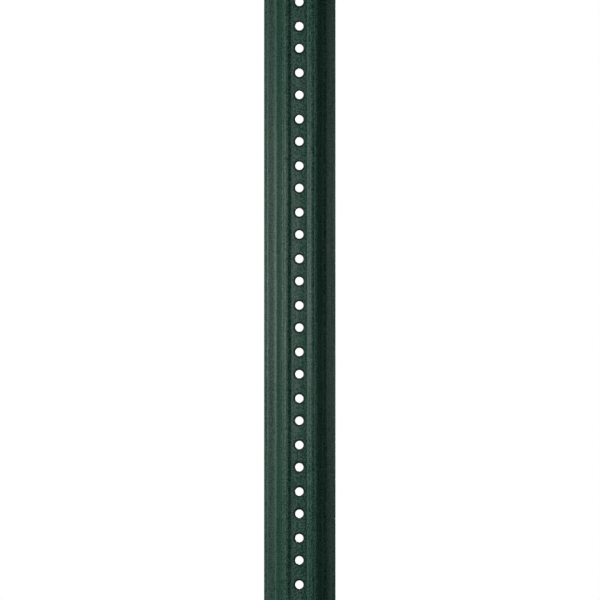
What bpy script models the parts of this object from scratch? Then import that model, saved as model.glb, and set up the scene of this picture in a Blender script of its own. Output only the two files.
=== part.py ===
"""Ribbed U-channel post for a traffic sign: one hot-rolled steel section, punched with a row of bolt holes.

Units are metres. +Z runs up the post and +X across it. The ribbed back faces -Y and the open side faces +Y.
The origin is at the foot, in the middle of the section's width and depth.
"""

import math

import bmesh
import bpy
from mathutils import Matrix, Vector

INCH = 0.0254
MM = 0.001

# Overall size
POST_LENGTH = 72 * INCH
SECTION_WIDTH = 78.3 * MM
SECTION_DEPTH = 36.5 * MM

# Flanges, one on each side of the open face, each with a thinner lip along its edge
FLANGE_WIDTH = 15.25 * MM
FLANGE_THICKNESS = 2.7 * MM
FLANGE_EDGE_RADIUS = 0.8 * MM
LIP_WIDTH = 3.4 * MM
LIP_STEP = 0.5 * MM
LIP_STEP_WIDTH = 1.3 * MM
LIP_STEP_RADIUS = 1.2 * MM

# Sloping walls from the back to the flanges
BACK_WIDTH = 40.0 * MM
WALL_THICKNESS = 2.5 * MM
BACK_CORNER_RADIUS = 4.0 * MM
FLANGE_FILLET = 5.2 * MM
MOUTH_RADIUS = 4.2 * MM
CHANNEL_FILLET = 2.6 * MM

# Web, crowned along its middle, with a rib rolled on each side of it and a sloping shoulder outside each rib
WEB_THICKNESS = 2.4 * MM
WEB_CROWN = 0.8 * MM
WEB_CROWN_WIDTH = 3.2 * MM
WEB_CROWN_RADIUS = 4.0 * MM
RIB_HEIGHT = 2.6 * MM
RIB_SPACING = 26.4 * MM
RIB_CREST = 2.2 * MM
RIB_INNER_SLOPE = 3.2 * MM
RIB_OUTER_SLOPE = 1.6 * MM
RIB_CREST_RADIUS = 2.0 * MM
RIB_FOOT_RADIUS = 1.6 * MM
SHOULDER_DROP = 1.0 * MM
SHOULDER_FALL = 0.5 * MM

# Bolt holes down the middle of the web
HOLE_DIAMETER = 3 / 8 * INCH
HOLE_PITCH = 1 * INCH
END_DISTANCE = 1 * INCH
PAIR_SHIFT = 0.6 * MM
CUTTER_OVERLAP = 2.0 * MM

# Fineness of the facets, and the share of an edge that the arcs at its two ends may take
ARC_STEP = math.radians(15)
EDGE_SHARE = 0.98
HOLE_SIDES = 24
SHARP_ANGLE = math.radians(30)
TINY = 1e-6

# Baked enamel over the whole post
ENAMEL_COLOUR = (0.022, 0.058, 0.043, 1.0)
ENAMEL_ROUGHNESS = 0.38
ENAMEL_METALLIC = 0.0


def clear_scene():
    for obj in list(bpy.data.objects):
        bpy.data.objects.remove(obj)


def enamel():
    material = bpy.data.materials.new("green_enamel")
    material.use_nodes = True
    shader = material.node_tree.nodes["Principled BSDF"]
    shader.inputs["Base Color"].default_value = ENAMEL_COLOUR
    shader.inputs["Roughness"].default_value = ENAMEL_ROUGHNESS
    shader.inputs["Metallic"].default_value = ENAMEL_METALLIC
    return material


def rounded(corners):
    """Replaces each (x, y, radius) corner of an open chain by an arc; the chain's two ends have none.
    Where two arcs ask for more than the edge between them, both shrink to share it."""
    points = [Vector(corner[:2]) for corner in corners]
    inner = range(1, len(points) - 1)
    half_angle = {i: (points[i - 1] - points[i]).angle(points[i + 1] - points[i]) / 2 for i in inner}
    asked = [corners[i][2] / math.tan(half_angle[i]) if i in half_angle else 0 for i in range(len(points))]
    chain = [points[0]]
    for i in inner:
        share = min((points[j] - points[i]).length / (asked[i] + asked[j]) for j in (i - 1, i + 1))
        setback = asked[i] * min(1, share * EDGE_SHARE)
        radius = setback * math.tan(half_angle[i])
        back = (points[i - 1] - points[i]).normalized()
        ahead = (points[i + 1] - points[i]).normalized()
        centre = points[i] + (back + ahead).normalized() * radius / math.sin(half_angle[i])
        start = points[i] + back * setback - centre
        turn = -start.angle_signed(points[i] + ahead * setback - centre)
        steps = max(1, math.ceil(abs(turn) / ARC_STEP))
        chain += [centre + turned(start, turn * step / steps) for step in range(steps + 1)]
    chain.append(points[-1])
    return chain


def turned(vector, angle):
    """The vector, turned anticlockwise in the plane of the section."""
    return Matrix.Rotation(angle, 2) @ vector


def wall_x(depth):
    """Half-width of the section's outside at this depth below the rib crests, along the sloping wall."""
    top, foot = SHOULDER_DROP + SHOULDER_FALL, SECTION_DEPTH - FLANGE_THICKNESS
    spread = SECTION_WIDTH / 2 - FLANGE_WIDTH - BACK_WIDTH / 2
    return BACK_WIDTH / 2 + spread * (depth - top) / (foot - top)


def wall_inset():
    """Thickness of the sloping wall, measured across the post."""
    slope = math.atan2(wall_x(SECTION_DEPTH) - wall_x(0), SECTION_DEPTH)
    return WALL_THICKNESS / math.cos(slope)


def half_section():
    """Right half of the section, from the back's middle round the flange to the channel's middle, as (x, depth)."""
    web = RIB_HEIGHT - WEB_CROWN
    crest_inner = (RIB_SPACING - RIB_CREST) / 2
    crest_outer = (RIB_SPACING + RIB_CREST) / 2
    edge = SECTION_WIDTH / 2
    flange_back = SECTION_DEPTH - FLANGE_THICKNESS
    lip_back = flange_back + LIP_STEP
    channel_floor = RIB_HEIGHT + WEB_THICKNESS
    return rounded(
        [
            (0, web, 0),
            (WEB_CROWN_WIDTH / 2, web, WEB_CROWN_RADIUS),
            (crest_inner - RIB_INNER_SLOPE, RIB_HEIGHT, RIB_FOOT_RADIUS),
            (crest_inner, 0, RIB_CREST_RADIUS),
            (crest_outer, 0, RIB_CREST_RADIUS),
            (crest_outer + RIB_OUTER_SLOPE, SHOULDER_DROP, RIB_FOOT_RADIUS),
            (BACK_WIDTH / 2, SHOULDER_DROP + SHOULDER_FALL, BACK_CORNER_RADIUS),
            (edge - FLANGE_WIDTH, flange_back, FLANGE_FILLET),
            (edge - LIP_WIDTH - LIP_STEP_WIDTH, flange_back, LIP_STEP_RADIUS),
            (edge - LIP_WIDTH, lip_back, LIP_STEP_RADIUS),
            (edge, lip_back, FLANGE_EDGE_RADIUS),
            (edge, SECTION_DEPTH, FLANGE_EDGE_RADIUS),
            (wall_x(SECTION_DEPTH) - wall_inset(), SECTION_DEPTH, MOUTH_RADIUS),
            (wall_x(channel_floor) - wall_inset(), channel_floor, CHANNEL_FILLET),
            (0, channel_floor, 0),
        ]
    )


def rolled_section(material):
    """The bar as it leaves the rolls: the whole section, extruded to the post's length."""
    right = [Vector((x, depth - SECTION_DEPTH / 2, 0)) for x, depth in half_section()]
    left = [Vector((-point.x, point.y, 0)) for point in reversed(right[1:-1])]
    mesh = bpy.data.meshes.new("sign_post")
    shape = bmesh.new()
    foot = shape.faces.new([shape.verts.new(point) for point in right + left])
    grown = bmesh.ops.extrude_face_region(shape, geom=[foot])["geom"]
    top = [item for item in grown if isinstance(item, bmesh.types.BMVert)]
    bmesh.ops.translate(shape, verts=top, vec=(0, 0, POST_LENGTH))
    bmesh.ops.recalc_face_normals(shape, faces=shape.faces)
    shape.to_mesh(mesh)
    shape.free()
    mesh.materials.append(material)
    post = bpy.data.objects.new("sign_post", mesh)
    bpy.context.collection.objects.link(post)
    return post


def hole_heights():
    """Heights of the holes. The press punches two at a stroke, and each two lie a little closer than the pitch."""
    spaces = math.floor((POST_LENGTH - 2 * END_DISTANCE) / HOLE_PITCH + TINY)
    shifts = [PAIR_SHIFT, -PAIR_SHIFT]
    return [END_DISTANCE + HOLE_PITCH * i + shifts[i % 2] for i in range(spaces + 1)]


def punches():
    """One cylinder for each hole, through the web from back to front."""
    length = WEB_THICKNESS + WEB_CROWN + 2 * CUTTER_OVERLAP
    web_middle = RIB_HEIGHT + (WEB_THICKNESS - WEB_CROWN) / 2 - SECTION_DEPTH / 2
    laid_down = Matrix.Rotation(math.radians(90), 3, "X")
    mesh = bpy.data.meshes.new("hole_punches")
    shape = bmesh.new()
    for height in hole_heights():
        made = bmesh.ops.create_cone(
            shape,
            cap_ends=True,
            segments=HOLE_SIDES,
            radius1=HOLE_DIAMETER / 2,
            radius2=HOLE_DIAMETER / 2,
            depth=length,
        )["verts"]
        bmesh.ops.rotate(shape, verts=made, cent=(0, 0, 0), matrix=laid_down)
        bmesh.ops.translate(shape, verts=made, vec=(0, web_middle, height))
    shape.to_mesh(mesh)
    shape.free()
    cutter = bpy.data.objects.new("hole_punches", mesh)
    cutter.hide_render = True
    cutter.display_type = "WIRE"
    bpy.context.collection.objects.link(cutter)
    return cutter


def sign_post():
    """The finished post: the rolled bar with its row of holes."""
    post = rolled_section(enamel())
    cut = post.modifiers.new("bolt_holes", "BOOLEAN")
    cut.operation = "DIFFERENCE"
    cut.object = punches()
    post.data.shade_smooth()
    post.data.set_sharp_from_angle(angle=SHARP_ANGLE)


clear_scene()
sign_post()
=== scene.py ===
"""Looks of the sign post: the rolled and punched skin with its baked enamel, in a plain white studio.

Lengths are metres. The post stands on z = 0, its ribbed back faces -Y, where the camera is.
"""

import math

import bpy
from mathutils import Matrix, Vector

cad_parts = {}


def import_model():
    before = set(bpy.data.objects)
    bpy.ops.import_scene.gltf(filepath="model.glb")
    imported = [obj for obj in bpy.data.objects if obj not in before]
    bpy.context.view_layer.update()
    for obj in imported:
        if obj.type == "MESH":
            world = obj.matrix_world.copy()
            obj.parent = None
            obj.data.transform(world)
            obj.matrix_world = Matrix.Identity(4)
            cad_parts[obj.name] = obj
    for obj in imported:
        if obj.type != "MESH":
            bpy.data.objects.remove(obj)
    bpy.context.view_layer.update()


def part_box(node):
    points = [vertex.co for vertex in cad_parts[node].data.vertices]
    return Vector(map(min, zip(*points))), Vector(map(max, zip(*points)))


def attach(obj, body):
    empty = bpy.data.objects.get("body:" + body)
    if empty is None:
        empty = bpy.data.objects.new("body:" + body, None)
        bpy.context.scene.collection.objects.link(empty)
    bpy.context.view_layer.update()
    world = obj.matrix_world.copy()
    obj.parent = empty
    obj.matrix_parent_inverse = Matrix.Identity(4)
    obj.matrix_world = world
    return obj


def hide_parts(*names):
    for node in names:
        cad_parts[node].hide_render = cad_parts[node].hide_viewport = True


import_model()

MM = 0.001
INCH = 0.0254

# Outer size, from the frame
LOW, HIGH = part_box("sign_post")
POST_LENGTH = HIGH.z - LOW.z
SECTION_WIDTH = HIGH.x - LOW.x
SECTION_DEPTH = HIGH.y - LOW.y

# Flanges, one on each side of the open face, each with a thinner lip along its edge
FLANGE_WIDTH = 15.25 * MM
FLANGE_THICKNESS = 2.7 * MM
FLANGE_EDGE_RADIUS = 0.8 * MM
LIP_WIDTH = 3.43 * MM
LIP_STEP = 0.47 * MM
LIP_STEP_WIDTH = 1.3 * MM
LIP_STEP_RADIUS = 1.2 * MM

# Sloping walls from the back to the flanges
BACK_WIDTH = 39.79 * MM
WALL_THICKNESS = 2.5 * MM
BACK_CORNER_RADIUS = 3.24 * MM
FLANGE_FILLET = 6.27 * MM
MOUTH_RADIUS = 4.2 * MM
CHANNEL_FILLET = 2.6 * MM

# Web, crowned along its middle, with a rib rolled on each side of it and a sloping shoulder outside each rib
WEB_THICKNESS = 2.4 * MM
WEB_CROWN = 0.66 * MM
WEB_CROWN_WIDTH = 3.2 * MM
RIB_HEIGHT = 2.6 * MM
RIB_SPACING = 26.67 * MM
RIB_CREST = 2.22 * MM
RIB_INNER_SLOPE = 3.06 * MM
RIB_OUTER_SLOPE = 1.61 * MM
RIB_CREST_RADIUS = 2.07 * MM
RIB_FOOT_RADIUS = 1.8 * MM
SHOULDER_DROP = 0.9 * MM
SHOULDER_FALL = 0.18 * MM

# Holes: the steel is drawn in round the punch and rounded where it left, and the enamel lines the bore
HOLE_DIAMETER = 3 / 8 * INCH
HOLE_PITCH = 1 * INCH
END_DISTANCE = 1 * INCH
PAIR_SHIFT = 0.6 * MM
BORE_BUILD = 0.26 * MM
DRAW_WIDTH = 2.5 * MM
DRAW_DEPTH = 1.0 * MM
EXIT_RADIUS = 0.35 * MM

# Rounding of the sheared ends
END_ROUND = 0.4 * MM

# Fineness of the skin, and the share of an edge that the arcs at its two ends may take
ARC_STEP = math.radians(5)
EDGE_SHARE = 0.98
HOLE_SIDES = 40
DRAW_STEPS = 6
EXIT_STEPS = 3
CELL_STEPS = 4
END_STEPS = 3
TINY = 1e-6

# Derived
CREST_INNER = (RIB_SPACING - RIB_CREST) / 2
CREST_OUTER = (RIB_SPACING + RIB_CREST) / 2
RIB_INNER_FOOT = CREST_INNER - RIB_INNER_SLOPE
CHANNEL_FLOOR = RIB_HEIGHT + WEB_THICKNESS
FLANGE_START = SECTION_WIDTH / 2 - FLANGE_WIDTH
CELL_HALF_WIDTH = RIB_INNER_FOOT - RIB_FOOT_RADIUS
BORE_RADIUS = HOLE_DIAMETER / 2 - BORE_BUILD
RING_TURNS = [2 * math.pi * k / HOLE_SIDES for k in range(HOLE_SIDES)]
CELL_SIDE_STEPS = HOLE_SIDES // 4

# Enamel: its tone runs from dark (0) to light (1) about the middle one
ENAMEL_DARK = (0.002, 0.032, 0.0195, 1.0)
ENAMEL_LIGHT = (0.0435, 0.088, 0.0683, 1.0)
ENAMEL_ROUGHNESS = (0.16, 0.24)
ENAMEL_SPECULAR = 0.11
MIDDLE_TONE = 0.5

# Grain of the hot-rolled steel, stronger on the ribs, and its streaks and blotches
GRAIN_PER_METRE = 700
GRAIN_DETAIL = 1.0
GRAIN_TONE = 4.6
RIB_GRAIN_TONE = 8.0
RIB_BAND = (CREST_INNER, CREST_OUTER + RIB_OUTER_SLOPE)
GRAIN_DEPTH = 0.2 * MM
STREAKS_PER_METRE = 520
STREAK_DETAIL = 2.0
STREAK_STRETCH = 0.03
STREAK_TONE = 1.2
STREAK_DEPTH = 0.12 * MM
BLOTCHES_PER_METRE = 26
BLOTCH_DETAIL = 3.0
BLOTCH_STRETCH = 0.4
BLOTCH_TONE = 0.6
ROUGHNESS_BAND = (0.7, 1.3)

# Lines along the post, set to the photo's: where each lies across it, and how much lighter or darker
# Most are painted highlights and painted shade, where the lip steps, fillets, walls and ribs catch or lose
# the light; a few are marks of the rolls.
ROLL_MARKS_AND_PAINTED_LIGHT = (
    (-35.2 * MM, 0.55),
    (-26.4 * MM, 1.05),
    (-24.4 * MM, -0.3),
    (-22.3 * MM, -0.8),
    (-18.9 * MM, -0.6),
    (-15.6 * MM, 0.55),
    (-14.3 * MM, -0.7),
    (-11.0 * MM, -0.5),
    (7.1 * MM, -0.6),
    (9.35 * MM, 1.0),
    (10.8 * MM, -0.75),
    (12.8 * MM, -0.4),
    (26.8 * MM, -0.6),
    (28.8 * MM, -0.8),
    (35.0 * MM, 1.0),
)
LINE_HALF_WIDTH = 0.8 * MM

# Painted light: the flanges a little lighter than the rest
FLANGE_PAINTED_LIGHT = 0.16
FLANGE_FADE = 2.0 * MM
FLANGE_BAND = (FLANGE_START, FLANGE_START + FLANGE_FADE)

# Painted shade round each hole, over the drawn-in steel and into the bore
RIM_PAINTED_SHADE = (0.002, 0.014, 0.009, 1.0)
RIM_FULL = 0.30
RIM_SHARE = 0.92

# Camera: far back with a long lens, almost square on
VIEW_HEIGHT = 36.21 * INCH
VIEW_AZIMUTH = math.radians(0.9)
VIEW_DISTANCE = 9.0
VIEW_WIDTH = 0.6562
VIEW_OFFSET = 0.5 * MM
VIEW_REACH = 100.0
SENSOR = 36.0

# Soft boxes, a little above the height of the view: azimuth, distance, (width, height) and power of each.
# The one at the back lights the open side alone.
SOFT_BOXES = {
    "key": (math.radians(-48), 1.05, (0.18, 0.36), 4.8),
    "edge": (math.radians(-77), 1.05, (0.20, 0.36), 2.15),
    "side": (math.radians(-21.3), 1.05, (0.08, 0.40), 2.2),
    "front": (math.radians(-1), 1.05, (0.20, 0.40), 0.9),
    "back": (math.radians(180), 2.4, (0.40, 1.60), 18.0),
}
LIGHT_RISE = 0.03

# World: white to the eye and to mirrors, and this strong where it lights
WHITE = (1, 1, 1, 1)
AMBIENT = 0.3

# Black flags round the post, as (from, to) azimuths: they are what its sides mirror
FLAGS = ((math.radians(2.5), math.radians(176)), (math.radians(-176), math.radians(-73.5)))
FLAG_COLOUR = (0.002, 0.002, 0.002, 1.0)
FLAG_DISTANCE = 2.4
FLAG_HEIGHT = 3.2
FLAG_STEPS = 24

# Floor
FLOOR_RADIUS = 6.0
FLOOR_SIDES = 96
FLOOR_FADE = (2.2, 5.6)
FLOOR_COLOUR = (0.86, 0.86, 0.86, 1.0)
FLOOR_ROUGHNESS = 0.9
FLOOR_SPECULAR = 0.1


def rounded(corners):
    """Follows an open chain of (x, depth, radius) corners, and gives (point, outward normal) pairs along it.
    Where two arcs ask for more than the edge between them, both shrink to share it."""
    points = [Vector(corner[:2]) for corner in corners]
    inner = range(1, len(points) - 1)
    half_angle = {i: (points[i - 1] - points[i]).angle(points[i + 1] - points[i]) / 2 for i in inner}
    asked = [corners[i][2] / math.tan(half_angle[i]) if i in half_angle else 0 for i in range(len(points))]
    chain = [(points[0], outward(points[1] - points[0]))]
    for i in inner:
        share = min((points[j] - points[i]).length / (asked[i] + asked[j]) for j in (i - 1, i + 1))
        setback = asked[i] * min(1, share * EDGE_SHARE)
        radius = setback * math.tan(half_angle[i])
        back = (points[i - 1] - points[i]).normalized()
        ahead = (points[i + 1] - points[i]).normalized()
        centre = points[i] + (back + ahead).normalized() * radius / math.sin(half_angle[i])
        start = points[i] + back * setback - centre
        turn = -start.angle_signed(points[i] + ahead * setback - centre)
        steps = max(1, math.ceil(abs(turn) / ARC_STEP))
        for step in range(steps + 1):
            spin = Matrix.Rotation(turn * step / steps, 2)
            chain.append((centre + spin @ start, outward(spin @ -back)))
    chain.append((points[-1], outward(points[-1] - points[-2])))
    return chain


def outward(along):
    """The outward normal of a stretch of the section that runs this way."""
    return Vector((along.y, -along.x)).normalized()


def wall_x(depth):
    """Half-width of the section's outside at this depth, along the sloping wall."""
    top, foot = SHOULDER_DROP + SHOULDER_FALL, SECTION_DEPTH - FLANGE_THICKNESS
    spread = FLANGE_START - BACK_WIDTH / 2
    return BACK_WIDTH / 2 + spread * (depth - top) / (foot - top)


def half_section():
    """Right half of the section, from the hole cells' edge on the back round to that in the channel."""
    edge = SECTION_WIDTH / 2
    flange_back = SECTION_DEPTH - FLANGE_THICKNESS
    slope = math.atan2(wall_x(SECTION_DEPTH) - wall_x(0), SECTION_DEPTH)
    inset = WALL_THICKNESS / math.cos(slope)
    return rounded(
        [
            (CELL_HALF_WIDTH, web_depth(CELL_HALF_WIDTH), 0),
            (RIB_INNER_FOOT, RIB_HEIGHT, RIB_FOOT_RADIUS),
            (CREST_INNER, 0, RIB_CREST_RADIUS),
            (CREST_OUTER, 0, RIB_CREST_RADIUS),
            (CREST_OUTER + RIB_OUTER_SLOPE, SHOULDER_DROP, RIB_FOOT_RADIUS),
            (BACK_WIDTH / 2, SHOULDER_DROP + SHOULDER_FALL, BACK_CORNER_RADIUS),
            (FLANGE_START, flange_back, FLANGE_FILLET),
            (edge - LIP_WIDTH - LIP_STEP_WIDTH, flange_back, LIP_STEP_RADIUS),
            (edge - LIP_WIDTH, flange_back + LIP_STEP, LIP_STEP_RADIUS),
            (edge, flange_back + LIP_STEP, FLANGE_EDGE_RADIUS),
            (edge, SECTION_DEPTH, FLANGE_EDGE_RADIUS),
            (wall_x(SECTION_DEPTH) - inset, SECTION_DEPTH, MOUTH_RADIUS),
            (wall_x(CHANNEL_FLOOR) - inset, CHANNEL_FLOOR, CHANNEL_FILLET),
            (CELL_HALF_WIDTH, CHANNEL_FLOOR, 0),
        ]
    )


def web_slope():
    """Slope of the straight part of the web's back, between its crown and a rib."""
    return WEB_CROWN / (RIB_INNER_FOOT - WEB_CROWN_WIDTH / 2)


def web_depth(x):
    """Depth of the web's crowned back: rounded over in the middle, then falling straight to the ribs."""
    x = abs(x)
    straight = RIB_HEIGHT - WEB_CROWN + web_slope() * (x - WEB_CROWN_WIDTH / 2)
    return straight + web_slope() * max(0, WEB_CROWN_WIDTH - x) ** 2 / (2 * WEB_CROWN_WIDTH)


def web_lean(x):
    """Slope of the web's back across the post."""
    return math.copysign(web_slope() * min(1, abs(x) / WEB_CROWN_WIDTH), x)


def back_surface(x):
    """Place along Y and slope of the web's back here."""
    return web_depth(x) - SECTION_DEPTH / 2, web_lean(x)


def floor_surface(_x):
    """Place along Y and slope of the channel's floor, which is flat."""
    return CHANNEL_FLOOR - SECTION_DEPTH / 2, 0.0


def hole_heights():
    """Heights of the holes. The press punches two at a stroke, a little closer together than the pitch."""
    spaces = math.floor((POST_LENGTH - 2 * END_DISTANCE) / HOLE_PITCH + TINY)
    shifts = [PAIR_SHIFT, -PAIR_SHIFT]
    return [END_DISTANCE + HOLE_PITCH * i + shifts[i % 2] for i in range(spaces + 1)]


class Skin:
    """A mesh in the making. Every vertex has its true normal, and how near it is to the rim of a hole."""

    def __init__(self):
        self.points, self.normals, self.rims, self.faces = [], [], [], []

    def vertex(self, point, normal, rim=0.0):
        self.points.append(point)
        self.normals.append(normal.normalized())
        self.rims.append(rim)
        return len(self.points) - 1

    def strip(self, first, second, closed=False):
        """Quads between two rows of as many vertices."""
        pairs = list(zip(first, second))
        for (a, b), (c, d) in zip(pairs, pairs[1:] + pairs[:1] if closed else pairs[1:]):
            self.faces.append((a, c, d, b))

    def object(self, name, material):
        mesh = bpy.data.meshes.new(name)
        mesh.from_pydata(self.points, [], self.faces)
        mesh.shade_smooth()
        mesh.normals_split_custom_set_from_vertices(self.normals)
        rim = mesh.attributes.new("rim", "FLOAT", "POINT")
        rim.data.foreach_set("value", self.rims)
        mesh.materials.append(material)
        made = bpy.data.objects.new(name, mesh)
        bpy.context.scene.collection.objects.link(made)
        return made


def section_loop():
    """The whole section as a closed loop of (x, y, normal x, normal y), and where its left half starts."""
    middle = SECTION_DEPTH / 2
    right = [(point.x, point.y - middle, normal.x, normal.y) for point, normal in half_section()]
    left = [(-x, y, -nx, ny) for x, y, nx, ny in reversed(right)]
    return right + left, len(right)


def add_station(skin, loop, height):
    """One copy of the section's loop at this height."""
    return [skin.vertex((x, y, height), Vector((nx, ny, 0))) for x, y, nx, ny in loop]


def add_end(skin, loop, station, height, way):
    """Rounds the sheared end over and closes it. way is -1 at the foot and 1 at the top."""
    last = station
    for step in range(1, END_STEPS + 1):
        angle = math.pi / 2 * step / END_STEPS
        inset = END_ROUND * (1 - math.cos(angle))
        rise = way * END_ROUND * math.sin(angle)
        ring = [
            skin.vertex(
                (x - nx * inset, y - ny * inset, height + rise),
                Vector((nx * math.cos(angle), ny * math.cos(angle), way * math.sin(angle))),
            )
            for x, y, nx, ny in loop
        ]
        skin.strip(*((last, ring) if way > 0 else (ring, last)), closed=True)
        last = ring
    skin.faces.append(tuple(last if way > 0 else reversed(last)))


def hole_edge(width, depth, steps):
    """From a face round into the bore: how far out from the bore, how far in from the face, and the lean."""
    edge = []
    for step in range(steps):
        angle = math.pi / 2 * step / steps
        reach = width * (1 - math.sin(angle))
        inward = depth * (1 - math.cos(angle))
        edge.append((reach, inward, math.tan(angle) * depth / width))
    return edge


def cell_border(k, height, half_heights):
    """Point k on the border of a hole's cell, counted anticlockwise from the middle of the right side.
    half_heights are the cell's reaches below and above the hole's middle."""
    below, above = half_heights
    side, along = divmod((k + CELL_SIDE_STEPS // 2) % HOLE_SIDES, CELL_SIDE_STEPS)
    share = along / CELL_SIDE_STEPS
    right, bottom, top = CELL_HALF_WIDTH, height - below, height + above
    if side == 0:
        return right, bottom + (below + above) * share
    if side == 1:
        return right - 2 * right * share, top
    if side == 2:
        return -right, top - (below + above) * share
    return -right + 2 * right * share, bottom


def add_side(skin, surface, way, centre, half_heights, edge, edge_width):
    """One face of the web round a hole, as rings from the cell's border to the hole's edge.
    way is -1 on the back and 1 in the channel."""
    x0, z0 = centre
    rings = []
    for step in range(CELL_STEPS):
        share = step / CELL_STEPS
        ring = []
        for k, turn in enumerate(RING_TURNS):
            round_x = x0 + (BORE_RADIUS + edge_width) * math.cos(turn)
            round_z = z0 + (BORE_RADIUS + edge_width) * math.sin(turn)
            square_x, square_z = cell_border(k, z0, half_heights)
            x = square_x + (round_x - square_x) * share
            z = square_z + (round_z - square_z) * share
            y, lean = surface(x)
            ring.append(skin.vertex((x, y, z), Vector((-way * lean, way, 0))))
        rings.append(ring)
    for reach, inward, tilt in edge:
        ring = []
        for turn in RING_TURNS:
            x = x0 + (BORE_RADIUS + reach) * math.cos(turn)
            z = z0 + (BORE_RADIUS + reach) * math.sin(turn)
            y, lean = surface(x)
            normal = Vector((-way * lean - tilt * math.cos(turn), way, -tilt * math.sin(turn)))
            ring.append(skin.vertex((x, y - way * inward, z), normal, 1 - reach / edge_width))
        rings.append(ring)
    return rings


def add_bore(skin, first, second, centre):
    """The straight part of the bore, between the last rings of its two edges."""
    x0, z0 = centre
    ends = []
    for ring in (first, second):
        made = []
        for turn, index in zip(RING_TURNS, ring):
            x, z = x0 + BORE_RADIUS * math.cos(turn), z0 + BORE_RADIUS * math.sin(turn)
            normal = Vector((-math.cos(turn), 0, -math.sin(turn)))
            made.append(skin.vertex((x, skin.points[index][1], z), normal, 1.0))
        ends.append(made)
    skin.strip(first, ends[0], closed=True)
    skin.strip(ends[0], ends[1], closed=True)
    skin.strip(ends[1], second, closed=True)


def add_cell(skin, centre, half_heights):
    """The web round one hole. Gives the border rings on the back and in the channel."""
    draw = hole_edge(DRAW_WIDTH, DRAW_DEPTH, DRAW_STEPS)
    leave = hole_edge(EXIT_RADIUS, EXIT_RADIUS, EXIT_STEPS)
    back = add_side(skin, back_surface, -1, centre, half_heights, draw, DRAW_WIDTH)
    front = add_side(skin, floor_surface, 1, centre, half_heights, leave, EXIT_RADIUS)
    for outer, inner in zip(back, back[1:]):
        skin.strip(outer, inner, closed=True)
    for outer, inner in zip(front, front[1:]):
        skin.strip(inner, outer, closed=True)
    add_bore(skin, back[-1], front[-1], centre)
    return back[0], front[0]


def join_cell(border, lower, upper, columns):
    """Faces that join the two upright sides of a cell's border to the section's next column on each side."""
    start = -(CELL_SIDE_STEPS // 2)
    right = [border[(start + k) % HOLE_SIDES] for k in range(CELL_SIDE_STEPS + 1)]
    left = [border[(start + 2 * CELL_SIDE_STEPS + k) % HOLE_SIDES] for k in range(CELL_SIDE_STEPS + 1)]
    right_column, left_column = columns
    return [
        (lower[right_column], upper[right_column], *reversed(right)),
        (upper[left_column], lower[left_column], *reversed(left)),
    ]


def post_skin(material):
    """The whole skin: a length of section for each hole, with its cell let into the web, and the two ends.
    The first and last points of each half of the loop lie on the cells' sides, so the strips skip them."""
    skin = Skin()
    loop, half = section_loop()
    holes = hole_heights()
    borders = [END_ROUND] + [(a + b) / 2 for a, b in zip(holes, holes[1:])] + [POST_LENGTH - END_ROUND]
    stations = [add_station(skin, loop, height) for height in borders]
    last = len(loop) - 1
    for lower, upper, low, high, hole in zip(stations, stations[1:], borders, borders[1:], holes):
        skin.strip(lower[1:half - 1], upper[1:half - 1])
        skin.strip(lower[half + 1:last], upper[half + 1:last])
        back, front = add_cell(skin, (0, hole), (hole - low, high - hole))
        skin.faces += join_cell(back, lower, upper, (1, last - 1))
        skin.faces += [face[::-1] for face in join_cell(front, lower, upper, (half - 2, half + 1))]
    add_end(skin, loop, stations[0], borders[0], -1)
    add_end(skin, loop, stations[-1], borders[-1], 1)
    return skin.object("post_skin", material)


class Nodes:
    """Short hand for a material's node tree."""

    def __init__(self, tree):
        self.tree = tree

    def add(self, kind, **values):
        """A new node. Each value goes to the node's own setting of that name, or else to its input."""
        node = self.tree.nodes.new(kind)
        for name, value in values.items():
            if hasattr(node, name):
                setattr(node, name, value)
            else:
                node.inputs[name.title()].default_value = value
        return node

    def link(self, source, target):
        self.tree.links.new(source, target)

    def math(self, operation, *values):
        node = self.tree.nodes.new("ShaderNodeMath")
        node.operation = operation
        for socket, value in zip(node.inputs, values):
            if isinstance(value, (int, float)):
                socket.default_value = value
            else:
                self.link(value, socket)
        return node.outputs[0]

    def centred(self, value):
        """The value, counted from one half."""
        return self.math("SUBTRACT", value, 0.5)

    def mix(self, share, first, second):
        """Colour between two colours, each a socket or a value."""
        node = self.add("ShaderNodeMix", data_type="RGBA")
        colours = [socket for socket in node.inputs if socket.type == "RGBA"]
        for socket, value in zip(colours, (first, second)):
            if isinstance(value, tuple):
                socket.default_value = value
            else:
                self.link(value, socket)
        self.link(share, node.inputs["Factor"])
        return next(socket for socket in node.outputs if socket.type == "RGBA")

    def noise(self, coordinates, stretch, scale, detail):
        """Noise of so many bumps to the metre. A stretch under 1 draws them out along the post."""
        place = self.add("ShaderNodeMapping")
        place.inputs["Scale"].default_value = (1, 1, stretch)
        self.link(coordinates, place.inputs["Vector"])
        node = self.add("ShaderNodeTexNoise", scale=scale, detail=detail)
        self.link(place.outputs["Vector"], node.inputs["Vector"])
        return node.outputs["Fac"]

    def ramp(self, value, low, high, out_low=0.0, out_high=1.0):
        node = self.add("ShaderNodeMapRange")
        ends = {"From Min": low, "From Max": high, "To Min": out_low, "To Max": out_high}
        for name, number in ends.items():
            node.inputs[name].default_value = number
        self.link(value, node.inputs["Value"])
        return node.outputs["Result"]

    def bump(self, height, depth, normal=None):
        """Normal of a surface with this relief, on top of another normal where one is given."""
        node = self.add("ShaderNodeBump")
        node.inputs["Distance"].default_value = depth
        self.link(height, node.inputs["Height"])
        if normal:
            self.link(normal, node.inputs["Normal"])
        return node.outputs["Normal"]


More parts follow.
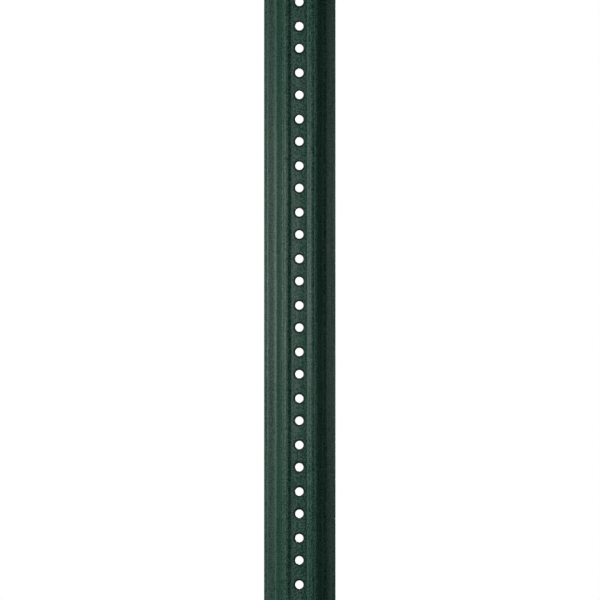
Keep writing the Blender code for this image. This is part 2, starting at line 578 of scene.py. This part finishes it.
def enamel_tone(nodes, place, grain, streaks, blotches):
    """How light the enamel's colour is here, across and along the post, painted highlights and painted shade
    included.
    """
    split = nodes.add("ShaderNodeSeparateXYZ")
    nodes.link(place, split.inputs["Vector"])
    across = split.outputs["X"]
    from_middle = nodes.math("ABSOLUTE", across)
    grain_tone = nodes.ramp(from_middle, *RIB_BAND, RIB_GRAIN_TONE, GRAIN_TONE)
    tone = nodes.math("MULTIPLY_ADD", nodes.centred(grain), grain_tone, MIDDLE_TONE)
    tone = nodes.math("MULTIPLY_ADD", nodes.centred(streaks), STREAK_TONE, tone)
    tone = nodes.math("MULTIPLY_ADD", nodes.centred(blotches), BLOTCH_TONE, tone)
    # Painted light on the flanges
    tone = nodes.math("ADD", tone, nodes.ramp(from_middle, *FLANGE_BAND, 0.0, FLANGE_PAINTED_LIGHT))
    # Painted highlights and painted shade in lines along the post, with a few marks of the rolls among them
    for line_x, line_tone in ROLL_MARKS_AND_PAINTED_LIGHT:
        distance = nodes.math("ABSOLUTE", nodes.math("SUBTRACT", across, line_x))
        tone = nodes.math("ADD", tone, nodes.ramp(distance, 0.0, LINE_HALF_WIDTH, line_tone, 0.0))
    return tone


def enamel():
    """Dark green baked enamel: semi-gloss, with the grain of hot-rolled steel and its streaks under it, and
    painted shade round the holes.
    """
    material = bpy.data.materials.new("green_enamel")
    material.use_nodes = True
    nodes = Nodes(material.node_tree)
    shader = material.node_tree.nodes["Principled BSDF"]
    place = nodes.add("ShaderNodeTexCoord").outputs["Object"]

    grain = nodes.noise(place, 1, GRAIN_PER_METRE, GRAIN_DETAIL)
    streaks = nodes.noise(place, STREAK_STRETCH, STREAKS_PER_METRE, STREAK_DETAIL)
    blotches = nodes.noise(place, BLOTCH_STRETCH, BLOTCHES_PER_METRE, BLOTCH_DETAIL)

    colour = nodes.mix(enamel_tone(nodes, place, grain, streaks, blotches), ENAMEL_DARK, ENAMEL_LIGHT)
    # Painted shade round each hole, darkest from the drawn-in edge into the bore
    rim = nodes.add("ShaderNodeAttribute", attribute_name="rim").outputs["Fac"]
    colour = nodes.mix(nodes.ramp(rim, 0.0, RIM_FULL, 0.0, RIM_SHARE), colour, RIM_PAINTED_SHADE)
    nodes.link(colour, shader.inputs["Base Color"])

    rough = nodes.ramp(nodes.math("ADD", grain, blotches), *ROUGHNESS_BAND, *ENAMEL_ROUGHNESS)
    nodes.link(rough, shader.inputs["Roughness"])
    shader.inputs["Specular IOR Level"].default_value = ENAMEL_SPECULAR

    relief = nodes.bump(streaks, STREAK_DEPTH)
    relief = nodes.bump(grain, GRAIN_DEPTH, relief)
    nodes.link(relief, shader.inputs["Normal"])
    return material


def floor():
    """A round pale floor that fades out into the white before its edge."""
    mesh = bpy.data.meshes.new("floor")
    turns = [2 * math.pi * k / FLOOR_SIDES for k in range(FLOOR_SIDES)]
    points = [(FLOOR_RADIUS * math.cos(turn), FLOOR_RADIUS * math.sin(turn), 0) for turn in turns]
    mesh.from_pydata(points, [], [tuple(range(FLOOR_SIDES))])
    material = bpy.data.materials.new("pale_floor")
    material.use_nodes = True
    nodes = Nodes(material.node_tree)
    shader = material.node_tree.nodes["Principled BSDF"]
    shader.inputs["Base Color"].default_value = FLOOR_COLOUR
    shader.inputs["Roughness"].default_value = FLOOR_ROUGHNESS
    shader.inputs["Specular IOR Level"].default_value = FLOOR_SPECULAR
    place = nodes.add("ShaderNodeTexCoord").outputs["Object"]
    reach = nodes.add("ShaderNodeVectorMath", operation="LENGTH")
    nodes.link(place, reach.inputs[0])
    nodes.link(nodes.ramp(reach.outputs["Value"], *FLOOR_FADE, 1.0, 0.0), shader.inputs["Alpha"])
    mesh.materials.append(material)
    made = bpy.data.objects.new("floor", mesh)
    bpy.context.scene.collection.objects.link(made)


def world():
    """White where it is seen or mirrored, and dim where it lights."""
    made = bpy.data.worlds.new("studio")
    made.use_nodes = True
    nodes = Nodes(made.node_tree)
    background = made.node_tree.nodes["Background"]
    background.inputs["Color"].default_value = WHITE
    path = nodes.add("ShaderNodeLightPath")
    seen = nodes.math("MAXIMUM", path.outputs["Is Camera Ray"], path.outputs["Is Glossy Ray"])
    seen = nodes.math("MAXIMUM", seen, path.outputs["Is Transmission Ray"])
    nodes.link(nodes.ramp(seen, 0.0, 1.0, AMBIENT, 1.0), background.inputs["Strength"])
    bpy.context.scene.world = made


def soft_box(name, azimuth, distance, size, power):
    """A rectangular area lamp that faces the post, out of the camera's sight."""
    data = bpy.data.lights.new(name, "AREA")
    data.shape = "RECTANGLE"
    data.size, data.size_y = size
    data.energy = power
    light = bpy.data.objects.new(name, data)
    bpy.context.scene.collection.objects.link(light)
    target = Vector((0, 0, VIEW_HEIGHT + LIGHT_RISE))
    away = Vector((math.sin(azimuth), -math.cos(azimuth), 0))
    light.location = target + away * distance
    light.rotation_euler = (-away).to_track_quat("-Z", "Y").to_euler()
    light.visible_camera = False


def flags():
    """Black cloth at the sides and behind, which only mirrors see."""
    material = bpy.data.materials.new("black_cloth")
    material.use_nodes = True
    shader = material.node_tree.nodes["Principled BSDF"]
    shader.inputs["Base Color"].default_value = FLAG_COLOUR
    shader.inputs["Roughness"].default_value = 1.0
    shader.inputs["Specular IOR Level"].default_value = 0.0
    for number, (start, stop) in enumerate(FLAGS):
        turns = [start + (stop - start) * step / FLAG_STEPS for step in range(FLAG_STEPS + 1)]
        low = [(FLAG_DISTANCE * math.sin(turn), -FLAG_DISTANCE * math.cos(turn), 0.0) for turn in turns]
        high = [(x, y, FLAG_HEIGHT) for x, y, _ in low]
        count = len(turns)
        mesh = bpy.data.meshes.new("flag")
        mesh.from_pydata(low + high, [], [(k, k + 1, count + k + 1, count + k) for k in range(count - 1)])
        mesh.materials.append(material)
        flag = bpy.data.objects.new("flag_%d" % number, mesh)
        bpy.context.scene.collection.objects.link(flag)
        for ray in ("camera", "diffuse", "shadow", "transmission", "volume_scatter"):
            setattr(flag, "visible_" + ray, False)


def camera():
    """Looks at the middle of the view, VIEW_WIDTH across at the post."""
    data = bpy.data.cameras.new("camera")
    data.sensor_width = SENSOR
    data.lens = SENSOR * VIEW_DISTANCE / VIEW_WIDTH
    data.clip_end = VIEW_REACH
    made = bpy.data.objects.new("camera", data)
    bpy.context.scene.collection.objects.link(made)
    target = Vector((VIEW_OFFSET, 0, VIEW_HEIGHT))
    away = Vector((math.sin(VIEW_AZIMUTH), -math.cos(VIEW_AZIMUTH), 0))
    made.location = target + away * VIEW_DISTANCE
    made.rotation_euler = (-away).to_track_quat("-Z", "Y").to_euler()
    bpy.context.scene.camera = made


camera()
for box_name, box in SOFT_BOXES.items():
    soft_box(box_name, *box)
world()
floor()
flags()
skin = post_skin(enamel())
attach(skin, "root")
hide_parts("sign_post")
bpy.context.scene.view_settings.view_transform = "Standard"
